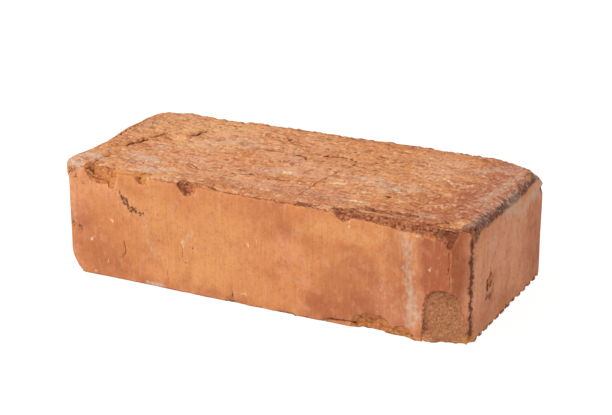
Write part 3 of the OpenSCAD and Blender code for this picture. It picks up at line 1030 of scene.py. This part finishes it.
@dataclass
class Brick:
    """The brick's one piece: a fine copy of the CAD solid with relief and painted masks, in millimetres.

    A pair of limits runs from the value or place that has none of a thing to the one that has all of it.
    """

    node: str = "brick"
    name: str = "fired_brick"
    clay: FiredClay = field(default_factory=FiredClay)
    # The copy: how near points are joined, the size of its facets and the height that its relief may reach.
    weld: float = 0.01
    facet: float = 1.07
    tallest: float = 68.8
    # The die section, as the solid has it.
    bevel_run: float = 10.0
    bevel_fall: float = 7.0
    small_bevel_run: float = 5.0
    small_bevel_fall: float = 2.0
    lip_reach: float = 3.0
    bed_limit: float = 12.0
    bed_marks: Pair = (-2.5, -0.5)
    # How marks fade below their face, and the shifts that make cracks, stains, clouds and losses uneven.
    mark_fade: Pair = (7.0, 4.0)
    shift_step: float = 31.0
    crack_drift: Lattice = Lattice(5, (5.0, 5.0, 5.0), 3)
    stain_drift: Lattice = Lattice(6, (4.0, 4.0, 4.0), 3)
    cloud_drift: Lattice = Lattice(7, (22.0, 22.0, 22.0), 3)
    loss_drift: Lattice = Lattice(8, (5.0, 5.0, 5.0), 3)
    cloud_reach: float = 6.0
    crack_wander: float = 0.8
    crack_limit: float = 3.0
    crack_shut: float = -0.9
    crack_none: float = -1.5
    crack_soft: float = 0.7
    crack_taper: Pair = (-0.5, 2.0)
    fold_taper: Pair = (0.0, 0.12)
    fold_step: Pair = (-0.5, 0.7)
    fold_crest: float = 0.2
    patch_core: float = 0.15
    loss_wander: float = 0.9
    loss_edge: Pair = (-0.4, 0.6)
    # The torn beds. The holes under the painted dirt and shade reach a little way down the sides, and the
    # lower bed only loses clay.
    torn_edge: Pair = (-1.0, 1.5)
    torn_spared: float = 0.6
    bend: Lattice = Lattice(11, (60.0, 45.0, 60.0), 2, 4.0)
    swell: Lattice = Lattice(12, (55.0, 24.0, 50.0), 2, 0.5)
    fibres: Lattice = Lattice(13, (11.0, 3.2, 10.0), 2, 0.34)
    flakes: Lattice = Lattice(24, (11.0, 6.5, 11.0), 3)
    flake_step: float = 0.34
    flake_edge: Pair = (-0.05, 0.05)
    grains: Lattice = Lattice(25, (2.6, 2.6, 2.6), 1, 0.18)
    tears: Hollows = Hollows(Lattice(14, (9.0, 3.0, 9.0)), 0.55, 0.75, 0.7)
    pits: Hollows = Hollows(Lattice(15, (4.2, 3.0, 4.0)), 0.5, 0.8, 0.7)
    holes: Hollows = Hollows(Lattice(22, (3.6, 2.8, 3.2), 2), -0.05, 0.5, 1.6)
    hole_edge: Pair = (-3.0, 0.0)
    hole_reach: float = 12.0
    foot: Pair = (5.0, 2.0)
    # How much of the tears and pits, of the wear and of the fibres is darkened with painted shade.
    hollow_shares: Triple = (0.6, 0.5, 0.4)
    # The die skin, the breaks and the wear of the arrises.
    broken_loss: Pair = (0.6, 1.3)
    broken_tone: Pair = (0.2, 0.6)
    broken_depth: Pair = (0.3, 0.7)
    broken_edge: Pair = (0.2, 0.8)
    sand_edge: Pair = (0.3, 0.8)
    sand_smooth: float = 0.55
    waves: Lattice = Lattice(16, (45.0, 45.0, 40.0), 2, 0.22)
    lumps: Lattice = Lattice(17, (4.4, 4.4, 4.0), 3, 0.45)
    bites: Lattice = Lattice(18, (11.0, 11.0, 9.0), 3)
    bite_swell: float = 0.35
    bite_depth: float = 1.3
    bite_edge: Pair = (0.05, 0.75)
    fringe: Lattice = Lattice(23, (4.5, 4.5, 4.5), 2, 1.4)
    fringe_y: Pair = (52.0, 57.0)
    arris_width: float = 2.4
    arris_reach: float = 6.0
    upper_wear: float = 0.8
    lower_wear: float = 0.35
    back_spared: float = 0.25
    back_y: Pair = (50.0, 56.0)
    lip_spared: float = 0.8
    lip_x: Pair = (-116.0, -121.0)
    crisp_foot: float = 0.8
    crisp_loss: float = 0.6
    crisp_height: float = 3.0
    # The arris that the wire entered. Its band thins and climbs onto the bed towards the back.
    entry_front: float = -45.0
    entry_run: float = 85.0
    entry_half: float = 3.7
    entry_thinning: float = 2.3
    entry_climb: float = 4.2
    entry_offset: float = 0.1
    entry_bed_fall: float = 0.6
    entry_none: float = -3.0
    entry_whole: Pair = (0.0, -1.5)
    entry_inset: float = 8.0
    entry_depth: float = 9.0
    entry_corner: float = 1.6
    blot_place: Pair = (-48.6, 64.0)
    blot_half: float = 2.5
    blot_fall: float = 0.5
    blot_squash: float = 0.9
    brush_cover: float = 0.8
    brush_edge: Pair = (-1.5, 0.5)
    brush_reach: float = 9.0
    brush_spread: float = 5.0
    brush_depth: float = 4.0
    brush_corner: Pair = (1.5, 5.0)
    lobes: Lattice = Lattice(26, (10.0, 9.5, 10.0), 2, 1.5)
    strokes: Lattice = Lattice(19, (7.0, 1.8, 7.0), 2, 0.35)
    stroke_edge: Pair = (-1.0, 0.5)
    # The torn groove beside the bevel, with painted shade along it, and the rolled edge of the end next to
    # it.
    groove_sway: Lattice = Lattice(21, (30.0, 30.0, 6.0), 2, 1.3)
    groove_jags: Lattice = Lattice(21, (30.0, 30.0, 3.8), 2)
    groove_depth: float = 1.2
    groove_tear: Pair = (-0.4, 0.3)
    groove_offset: float = 0.1
    groove_lean: float = 1.0
    groove_edge: Pair = (3.2, 1.3)
    groove_head: Pair = (2.0, 6.0)
    groove_foot: Pair = (3.0, 6.0)
    groove_shade: float = 1.1
    groove_shade_sway: float = 0.35
    roll_start: float = 0.6
    roll_depth: float = 1.4
    roll_width: float = 5.5
    roll_inset: float = 1.5
    roll_margin: float = 3.0
    # The bed's overhang on the lip's front corner, and the swelling below the lip.
    lip_overhang: float = 4.5
    overhang_x: Pair = (-112.0, -121.0)
    overhang_y: Pair = (-44.0, -53.0)
    overhang_depth: float = 8.0
    lip_bulge: float = 0.9
    bulge_x: Pair = (-119.0, -122.0)
    bulge_z: Pair = (8.0, 14.0)
    bulge_top: Pair = (0.0, 3.0)
    # The bowed left rim of the spall, and its foot, which runs further to the right and sinks in there.
    spall_left: float = 94.0
    spall_height: float = 34.0
    spall_depth: float = 7.0
    spall_rim: float = 101.2
    spall_middle: float = 16.0
    spall_bow: float = 0.004
    spall_foot: float = 5.0
    spall_foot_z: Pair = (8.0, 3.0)
    spall_edge: Pair = (0.6, -0.4)
    spall_foot_edge: float = 4.0
    spall_gap: float = 0.05
    spall_foot_gap: float = 0.6
    spall_foot_x: Pair = (100.0, 102.0)
    spall_loss: Pair = (0.2, 0.5)
    # What is worked out for every point of the mesh.
    points: np.ndarray = field(init=False, repr=False)
    low: np.ndarray = field(init=False, repr=False)
    high: np.ndarray = field(init=False, repr=False)
    front: np.ndarray = field(init=False, repr=False)
    end: np.ndarray = field(init=False, repr=False)
    corner: np.ndarray = field(init=False, repr=False)
    top: np.ndarray = field(init=False, repr=False)
    level: np.ndarray = field(init=False, repr=False)
    loss: np.ndarray = field(init=False, repr=False)
    cut: np.ndarray = field(init=False, repr=False)
    masks: dict[str, np.ndarray] = field(init=False, repr=False, default_factory=dict)

    def build(self) -> bpy.types.Object:
        """Builds and dresses the piece.

        Returns:
            The piece, riding on the CAD body in place of the CAD node.
        """
        piece = self.fine_copy()
        mesh = piece.data
        flat = np.empty(len(mesh.vertices) * 3)
        mesh.vertices.foreach_get("co", flat)
        self.points = flat.reshape(-1, 3) / MM
        mesh.vertex_normals.foreach_get("vector", flat)
        outward = flat.reshape(-1, 3).copy()
        self.measure()
        self.crack()
        self.paint()
        self.dent()
        moved = self.points + outward * self.relief()[:, None]
        moved[:, 0] -= self.bulge()
        moved[:, 1] -= self.kept_skin(moved)
        moved[:, 2] *= 1.0 + self.lift() / self.high[2]
        moved[:, 2] = np.clip(moved[:, 2], 0.0, self.tallest)
        mesh.vertices.foreach_set("co", (moved * MM).ravel())
        for name, values in self.masks.items():
            mesh.attributes.new(name, "FLOAT", "POINT").data.foreach_set("value", values.astype(np.float32))
        mesh.shade_smooth()
        mesh.update()
        mesh.materials.clear()
        mesh.materials.append(self.clay.material())
        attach(piece, "root")
        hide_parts(self.node)
        return piece

    def fine_copy(self) -> bpy.types.Object:
        """Copies the CAD mesh and covers it with small even facets.

        Returns:
            The new object, in place.
        """
        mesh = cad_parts[self.node].data.copy()
        shell = bmesh.new()
        shell.from_mesh(mesh)
        bmesh.ops.remove_doubles(shell, verts=shell.verts, dist=self.weld * MM)
        shell.to_mesh(mesh)
        shell.free()
        rough = bpy.data.objects.new("rough_copy", mesh)
        bpy.context.scene.collection.objects.link(rough)
        cover = rough.modifiers.new("even facets", "REMESH")
        cover.mode = "VOXEL"
        cover.voxel_size = self.facet * MM
        fine = bpy.data.meshes.new_from_object(rough.evaluated_get(bpy.context.evaluated_depsgraph_get()))
        bpy.data.objects.remove(rough)
        bpy.data.meshes.remove(mesh)
        piece = bpy.data.objects.new(self.name, fine)
        fine.name = self.name
        bpy.context.scene.collection.objects.link(piece)
        return piece

    def measure(self) -> None:
        """Works out how deep each point lies below the faces of the whole, unworn brick."""
        self.low, self.high = (np.array(corner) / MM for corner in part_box(self.node))
        x, y, z = self.points.T
        bevel = np.hypot(self.bevel_run, self.bevel_fall)
        small = np.hypot(self.small_bevel_run, self.small_bevel_fall)
        left = self.low[0] + self.lip_reach
        self.front = y - self.low[1]
        self.end = self.high[0] - x
        start = self.high[0] - self.bevel_run
        self.corner = (self.front * self.bevel_run - (x - start) * self.bevel_fall) / bevel
        stop = left + self.small_bevel_run
        far = (self.front * self.small_bevel_run + (x - stop) * self.small_bevel_fall) / small
        side = np.minimum.reduce([self.front, self.end, self.corner, far, self.high[1] - y, x - left])
        self.top = self.high[2] - z
        self.level = np.minimum(self.top, z)
        self.loss = np.minimum(side, self.level)
        lip = self.lip_overhang * ramp(x, *self.overhang_x) * ramp(y, *self.overhang_y)
        lip *= self.top < self.overhang_depth
        self.masks["bed"] = np.clip(side - self.level + lip, -self.bed_limit, self.bed_limit)
        self.enter()

    def enter(self) -> None:
        """Marks the arris that the wire entered, the strokes beside it on the bed, and all broken clay."""
        _, y, z = self.points.T
        back = np.clip((y - self.entry_front) / self.entry_run, 0.0, 1.0)
        climb = self.entry_offset + self.entry_climb * back + self.lobes.values(self.points)
        over = self.end - self.top + climb
        half = self.entry_half - self.entry_thinning * back
        away = np.hypot(y - self.blot_place[0], self.blot_squash * (z - self.blot_place[1]))
        here = (self.end < self.entry_inset) & (self.top < self.entry_depth)
        here &= self.corner > self.entry_corner
        across = half - np.where(over > 0.0, self.entry_bed_fall * over, -over)
        entry = np.where(here, np.maximum(across, self.blot_half - self.blot_fall * away), self.entry_none)
        self.masks["entry"] = np.clip(entry, self.entry_none, -self.entry_none)
        beside = ramp(over - half, *self.brush_edge)
        beside *= ramp(over - half, self.brush_reach + self.brush_spread * back, self.brush_edge[1])
        beside *= (self.top < self.brush_depth) * ramp(self.corner, *self.brush_corner)
        self.masks["brush"] = self.brush_cover * beside
        self.masks["broken"] = ramp(self.loss, *self.broken_loss) * ramp(entry, *self.entry_whole)

    def on(self, face: Face) -> tuple[np.ndarray, np.ndarray]:
        """Finds the points on a face.

        Args:
            face: The face.

        Returns:
            Their two coordinates on it, for every point, and how much each point belongs to it.
        """
        depths = {Face.FRONT: np.minimum(self.front, self.corner), Face.TOP: self.top, Face.END: self.end}
        near = ramp(depths[face], *self.mark_fade)
        if face is Face.TOP:
            near = near * ramp(self.masks["bed"], *self.bed_marks)
        return self.points[:, list(face.value)], near

    def shifts(self, source: Lattice) -> np.ndarray:
        """Random shifts along two axes, in shares of a reach."""
        return np.stack([source.values(self.points + self.shift_step * axis) for axis in range(2)], axis=1)

    def crack(self) -> None:
        """Finds each point's place beside the nearest crack, and opens the cracks and folds."""
        count = len(self.points)
        wander = self.crack_wander * self.shifts(self.crack_drift)
        limit = self.crack_limit
        nearest = np.full(count, limit)
        side = np.full(count, limit)
        half = np.full(count, self.crack_none)
        self.cut = np.zeros(count)
        for crack in CRACKS:
            places, belongs = self.on(crack.face)
            signed, near, share = to_path(places + wander, crack.path)
            length = sum(math.dist(*leg) for leg in zip(crack.path, crack.path[1:]))
            taper = ramp(share * length, *self.crack_taper) * ramp((1.0 - share) * length, *self.crack_taper)
            closer = (near < nearest) & (belongs > 0.5)
            nearest = np.where(closer, near, nearest)
            side = np.where(closer, np.clip(signed, -limit, limit), side)
            width = (crack.half - self.crack_shut) * taper * ramp(near, limit, limit - 1.0) + self.crack_shut
            half = np.where(closer, width, half)
            self.cut += crack.depth * taper * belongs * np.exp(-(near / (crack.half + self.crack_soft)) ** 2)
        self.masks["crack_side"] = side
        self.masks["crack_half"] = half
        places, belongs = self.on(Face.TOP)
        for fold in FOLDS:
            signed, _, share = to_path(places + wander, fold.path)
            taper = ramp(share, *self.fold_taper) * ramp(1.0 - share, *self.fold_taper)
            slab = ramp(signed, *self.fold_step) * ramp(signed, fold.reach, self.fold_crest * fold.reach)
            self.cut -= fold.rise * slab * taper * belongs

    def paint(self) -> None:
        """Paints each stain's patches, and the painted shade of the groove, into masks of their own."""
        fine, coarse = self.shifts(self.stain_drift), self.shifts(self.cloud_drift)
        for stain in Stain:
            self.masks[stain.value] = np.zeros(len(self.points))
        for patch in PATCHES:
            places, belongs = self.on(patch.face)
            uneven = patch.uneven * patch.reach * (coarse if patch.reach > self.cloud_reach else fine)
            near = to_path(places + uneven, patch.path)[1]
            spread = patch.strength * belongs * ramp(near, patch.reach, self.patch_core * patch.reach)
            name = patch.stain.value
            self.masks[name] = np.maximum(self.masks[name], spread)
        breaks = np.maximum.reduce([self.masks[s.value] for s in (Stain.OCHRE, Stain.DARK, Stain.SAND)])
        fresh = ramp(breaks, *self.broken_tone) * ramp(self.loss, *self.broken_depth)
        self.masks["broken"] = np.maximum(self.masks["broken"], fresh)
        lean = self.groove_lean * self.top / self.high[2] + self.groove_sway.values(self.points)
        away = np.hypot(self.end, self.front - self.bevel_fall - self.groove_offset - lean)
        ends = ramp(self.top, *self.groove_head) * ramp(self.points[:, 2], *self.groove_foot)
        self.masks["groove"] = ramp(away, *self.groove_edge) * ends

    def dent(self) -> None:
        """Takes the drawn losses out of the faces."""
        wander = self.loss_wander * self.shifts(self.loss_drift)
        for dent in DENTS:
            places, belongs = self.on(dent.face)
            deep = within(places + wander, dent.outline)
            self.cut += dent.depth * ramp(deep, 0.0, dent.slope) * belongs
            for name in (dent.stain.value, "broken"):
                self.masks[name] = np.maximum(self.masks[name], ramp(deep, *self.loss_edge) * belongs)

    def relief(self) -> np.ndarray:
        """Works out the relief that the making and the wear left.

        Returns:
            Millimetres outward for each point, with the painted shade of the hollows also kept as a mask.
        """
        points = self.points
        bed = ramp(self.masks["bed"], *self.torn_edge)
        broken = ramp(self.masks["broken"], *self.broken_edge)
        bend = self.bend.values(points)
        dragged = points + np.stack([np.zeros_like(bend), bend, np.zeros_like(bend)], axis=1)
        fibres = self.fibres.values(dragged)
        flakes = self.flake_step * (ramp(self.flakes.values(dragged), *self.flake_edge) - 0.5)
        tears = self.tears.values(dragged)
        pits = self.pits.values(points)
        torn = self.swell.values(points) + fibres + flakes + self.grains.values(points) + tears + pits
        torn *= bed * (1.0 - self.torn_spared * broken)
        grime = self.masks["grime"] * ramp(self.masks["bed"], *self.hole_edge)
        holes = self.holes.values(points) * grime * (self.top < self.hole_reach)
        skin = self.waves.values(points) * (1.0 - bed) * (1.0 - broken)
        rough = 1.0 - self.sand_smooth * ramp(self.masks["sand"], *self.sand_edge)
        lumps = self.lumps.values(points) * broken * rough
        strokes = self.strokes.values(points) * ramp(self.masks["entry"], *self.stroke_edge)
        worn = self.wear()
        total = torn + skin + lumps + worn + strokes + self.groove() + holes - self.cut
        open_share, worn_share, fibre_share = self.hollow_shares
        hollow_shade = -open_share * (tears + pits) * bed - holes + worn_share * np.maximum(-worn, 0.0)
        self.masks["hollow_shade"] = hollow_shade - fibre_share * np.minimum(fibres * bed, 0.0)
        low_bed = ramp(points[:, 2], *self.foot) * bed
        return np.where(low_bed > 0.5, np.minimum(total, 0.0), total)

    def groove(self) -> np.ndarray:
        """Tears the groove beside the bevel and rolls the end's edge into it.

        Returns:
            Millimetres outward for each point, with the groove's mask of painted shade made jagged.
        """
        jags = self.groove_jags.values(self.points)
        torn = -self.groove_depth * ramp(jags, *self.groove_tear) * self.masks["groove"]
        beside = np.clip((self.front - self.bevel_fall - self.roll_start) / self.roll_width, 0.0, 1.0)
        edge = (self.end < self.roll_inset) & (self.front > self.bevel_fall) & (self.level > self.roll_margin)
        self.masks["groove"] *= self.groove_shade + self.groove_shade_sway * jags
        return torn - self.roll_depth * (1.0 - beside) ** 2 * edge

    def wear(self) -> np.ndarray:
        """Works out what handling took off the arrises, most along the upper ones.

        Returns:
            Millimetres outward for each point.
        """
        x, y, z = self.points.T
        near_bed = self.masks["bed"]
        upper = self.top < self.arris_reach
        arris = np.exp(-(near_bed / self.arris_width) ** 2) * (self.level < self.arris_reach)
        arris *= np.where(upper, self.upper_wear - self.back_spared * ramp(y, *self.back_y), self.lower_wear)
        arris *= 1.0 - self.lip_spared * ramp(x, *self.lip_x)
        bites = self.bites.values(self.points)
        lost = self.bite_swell * bites - self.bite_depth * ramp(bites, *self.bite_edge)
        fringe = self.fringe.values(self.points) * ramp(y, *self.fringe_y) * upper
        crisp = self.crisp_foot * np.exp(-near_bed ** 2) * (self.loss < self.crisp_loss)
        return (lost + fringe) * arris + crisp * (z < self.crisp_height)

    def bulge(self) -> np.ndarray:
        """How far the left end swells out below its lip.

        Returns:
            Millimetres to the left for each point.
        """
        x, _, z = self.points.T
        swell = self.lip_bulge * ramp(x, *self.bulge_x)
        return swell * ramp(z, *self.bulge_z) * ramp(self.top, *self.bulge_top)

    def kept_skin(self, moved: np.ndarray) -> np.ndarray:
        """How far the spall's left rim and foot stand forward of its CAD pocket, where clay held.

        Args:
            moved: Each point's place with its relief.

        Returns:
            Millimetres towards the front for each point.
        """
        x, y, z = moved.T
        foot = ramp(z, *self.spall_foot_z)
        rim = self.spall_rim + self.spall_bow * (z - self.spall_middle) ** 2 + self.spall_foot * foot
        lost, kept = self.spall_edge
        held = ramp(x, rim + lost + self.spall_foot_edge * foot, rim + kept)
        held *= (x > self.spall_left) & (z < self.spall_height) & (self.front < self.spall_depth)
        gap = self.spall_gap + self.spall_foot_gap * foot * ramp(x, *self.spall_foot_x)
        return held * np.maximum(y - self.low[1] - gap, 0.0) * ramp(self.loss, *self.spall_loss)

    def lift(self) -> np.ndarray:
        """How far the upper bed stands off its drawn level, in millimetres for each point's place in plan.

        Returns:
            The sum of the lifts at each point.
        """
        x, y, _ = self.points.T
        total = np.zeros(len(self.points))
        for lift in LIFTS:
            part = lift.height * ramp(x, *lift.along_x)
            if lift.along_y:
                part = part * ramp(y, *lift.along_y)
            if lift.fade_x:
                part = part * ramp(x, *lift.fade_x)
            total += part
        return total


@dataclass
class Studio:
    """The pale floor, the soft light and the camera, in millimetres and watts."""

    floor_reach: float = 3000.0
    floor_tone: str = "#656565"
    floor_roughness: float = 0.9
    floor_glow: float = 0.95
    light_tone: str = "#FFFFFF"
    sky: float = 0.34
    key_power: float = 62.0
    key_size: float = 650.0
    key_place: Triple = (-800.0, -1150.0, 2150.0)
    aim: Triple = (1.81, 0.0, 40.87)
    azimuth: float = 26.639
    elevation: float = 20.834
    distance: float = 1019.4
    lens: float = 102.72
    sensor: float = 36.0

    def build(self) -> bpy.types.Object:
        """Sets up the floor, the light and the camera.

        Returns:
            The floor.
        """
        piece = self.floor()
        self.light()
        self.camera()
        return piece

    def floor(self) -> bpy.types.Object:
        """Lays a plain pale floor that glows a little, as a lit table does, so that shadows stay faint.

        Returns:
            The floor.
        """
        reach = self.floor_reach * MM
        corners = [(-reach, -reach, 0), (reach, -reach, 0), (reach, reach, 0), (-reach, reach, 0)]
        mesh = bpy.data.meshes.new("floor")
        mesh.from_pydata(corners, [], [(0, 1, 2, 3)])
        piece = bpy.data.objects.new("floor", mesh)
        bpy.context.scene.collection.objects.link(piece)
        paint = bpy.data.materials.new("matt_white_table")
        paint.use_nodes = True
        nodes = Nodes(paint.node_tree)
        surface = nodes.add("ShaderNodeBsdfPrincipled", {
            "Base Color": linear(self.floor_tone), "Roughness": self.floor_roughness,
            "Emission Color": linear(self.light_tone), "Emission Strength": self.floor_glow})
        nodes.add("ShaderNodeOutputMaterial", {"Surface": surface})
        mesh.materials.append(paint)
        return piece

    def light(self) -> None:
        """Hangs one large soft lamp on the left, under an even pale sky."""
        world = bpy.data.worlds.new("studio")
        world.use_nodes = True
        nodes = Nodes(world.node_tree)
        even = nodes.add("ShaderNodeBackground", {"Color": linear(self.light_tone), "Strength": self.sky})
        nodes.add("ShaderNodeOutputWorld", {"Surface": even})
        bpy.context.scene.world = world
        lamp = bpy.data.lights.new("key", "AREA")
        lamp.energy = self.key_power
        lamp.size = self.key_size * MM
        holder = bpy.data.objects.new("key", lamp)
        holder.location = Vector(self.key_place) * MM
        holder.rotation_euler = (Vector(self.aim) * MM - holder.location).to_track_quat("-Z", "Y").to_euler()
        bpy.context.scene.collection.objects.link(holder)
        bpy.context.scene.view_settings.view_transform = "Standard"

    def camera(self) -> None:
        """Puts the camera where the photo was taken from."""
        turn, rise = math.radians(self.azimuth), math.radians(self.elevation)
        out = Vector((math.sin(turn) * math.cos(rise), -math.cos(turn) * math.cos(rise), math.sin(rise)))
        lens = bpy.data.cameras.new("camera")
        lens.sensor_fit = "HORIZONTAL"
        lens.sensor_width = self.sensor
        lens.lens = self.lens
        holder = bpy.data.objects.new("camera", lens)
        holder.location = (Vector(self.aim) + out * self.distance) * MM
        holder.rotation_euler = (-out).to_track_quat("-Z", "Y").to_euler()
        bpy.context.scene.collection.objects.link(holder)
        bpy.context.scene.camera = holder


def main() -> None:
    """Builds the studio and the brick, and notes both sizes."""
    logging.basicConfig(level=logging.INFO, format="%(name)s: %(message)s")
    for part in (Studio(), Brick()):
        piece = part.build()
        LOG.info("%s: %d vertices, %d faces", piece.name, len(piece.data.vertices), len(piece.data.polygons))


if __name__ == "__main__":
    main()
